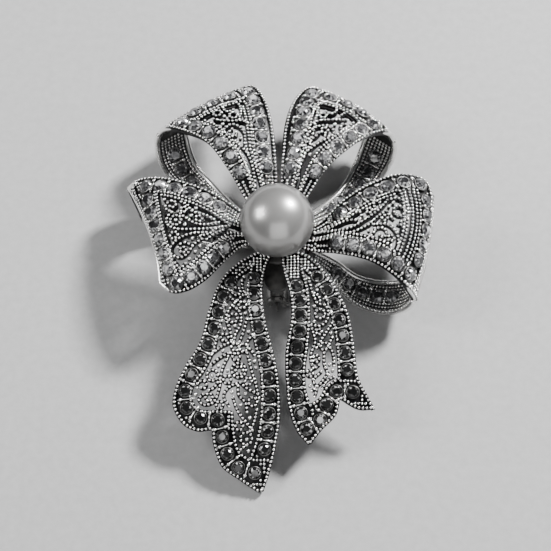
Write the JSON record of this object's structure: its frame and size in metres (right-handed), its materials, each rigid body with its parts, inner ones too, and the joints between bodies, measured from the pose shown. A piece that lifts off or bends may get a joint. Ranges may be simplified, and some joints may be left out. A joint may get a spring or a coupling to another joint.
{
  "type": "bow brooch",
  "caption": "Bow brooch with pierced, stone-set ribbon loops and tails around a large pearl, with a hinged pin and a turning safety catch behind.",
  "frame": {"origin": "on the pearl's axis, in the flat rear face of the pin bar", "axes": "+Z out of the front of the brooch, +Y towards the top of the bow, +X to the right seen from the front"},
  "size_m": [0.0428, 0.0602, 0.0186],
  "materials": {
    "leaf_silver": "antique silver plate, bright beads over dark recesses",
    "pin_steel": "plain nickel plate",
    "grey_stone": "faceted, foil-backed grey crystal",
    "black_stone": "faceted, polished black glass",
    "pearl_nacre": "lustrous pearl coat"
  },
  "bodies": {
    "bow": {"base_plate": "leaf_silver", "catch_body": "pin_steel", "hinge_bracket": "pin_steel", "hinge_rivet": "pin_steel", "loop_left": "leaf_silver", "loop_right": "leaf_silver", "loop_upper_left": "leaf_silver", "loop_upper_right": "leaf_silver", "pearl": "pearl_nacre", "pearl_cup": "leaf_silver", "pearl_peg": "pin_steel", "pin_bar": "leaf_silver", "stones_left_first_side": "grey_stone", "stones_left_fold": "grey_stone", "stones_left_second_side": "grey_stone", "stones_left_strip": "grey_stone", "stones_right_first_side": "grey_stone", "stones_right_fold": "grey_stone", "stones_right_second_side": "grey_stone", "stones_right_strip": "grey_stone", "stones_tail_left_inner": "black_stone", "stones_tail_left_outer": "black_stone", "stones_tail_right_inner": "black_stone", "stones_tail_right_outer": "black_stone", "stones_upper_left_first_side": "grey_stone", "stones_upper_left_fold": "grey_stone", "stones_upper_left_second_side": "grey_stone", "stones_upper_left_strip": "grey_stone", "stones_upper_right_first_side": "grey_stone", "stones_upper_right_fold": "grey_stone", "stones_upper_right_second_side": "grey_stone", "stones_upper_right_strip": "grey_stone", "tail_left": "leaf_silver", "tail_right": "leaf_silver"},
    "pin": {"pin_stem": "pin_steel"},
    "lock": {"catch_lock": "pin_steel"}
  },
  "joints": [
    {"name": "pin_swing", "type": "hinge", "parent": "bow", "child": "pin", "pos_m": [0, 0.0112, -0.00275], "axis": [1, 0, 0], "range_deg": [0, 70]},
    {"name": "lock_turn", "type": "hinge", "parent": "bow", "child": "lock", "pos_m": [0, -0.005, -0.00275], "axis": [0, 1, 0], "range_deg": [-150, 0]}
  ]
}
